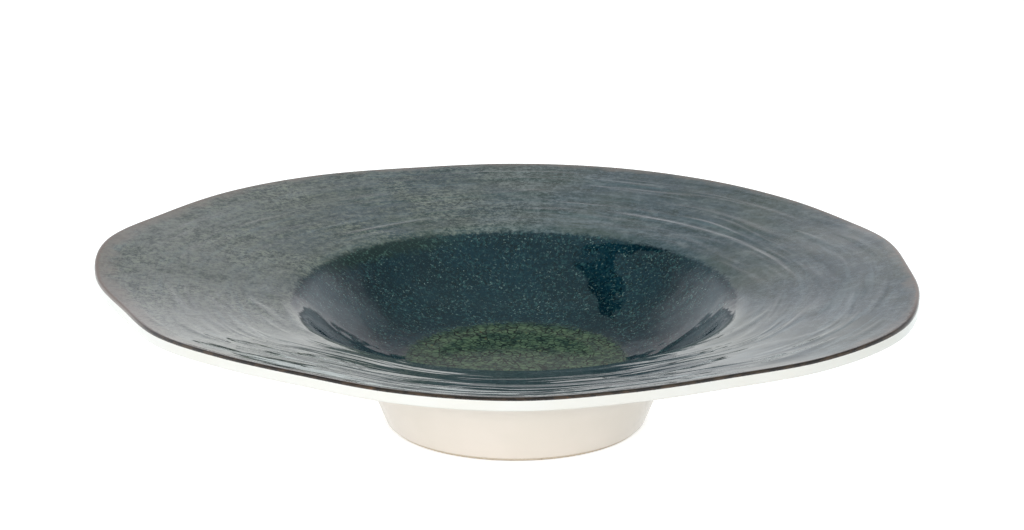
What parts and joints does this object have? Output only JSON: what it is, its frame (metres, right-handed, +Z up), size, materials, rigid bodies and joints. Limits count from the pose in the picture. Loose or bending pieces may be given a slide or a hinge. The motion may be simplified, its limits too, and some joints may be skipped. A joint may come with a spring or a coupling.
{
  "type": "risotto plate",
  "caption": "Wide-brimmed risotto plate: a gently waving brim round a small deep well, on a tall flared hollow foot; holds a served portion of food.",
  "frame": {"origin": "on the table, at the centre of the ring that the plate rests on, on the axis of the well and the foot", "axes": "+Z up out of the well; +X to the right and +Y away from a person who looks at the plate as in the reference view"},
  "size_m": [0.2793, 0.2848, 0.0581],
  "materials": {
    "clay": "matte",
    "brim_glaze": "gloss",
    "well_glaze": "gloss",
    "pool_glaze": "gloss",
    "lip_band": "gloss",
    "white_glaze": "gloss"
  },
  "bodies": {
    "root": {"ceramic_body": "clay", "brim_glaze": "brim_glaze", "well_glaze": "well_glaze", "pool_glaze": "pool_glaze", "lip_band": "lip_band", "underside_glaze": "white_glaze", "recess_glaze": "white_glaze"}
  },
  "joints": []
}
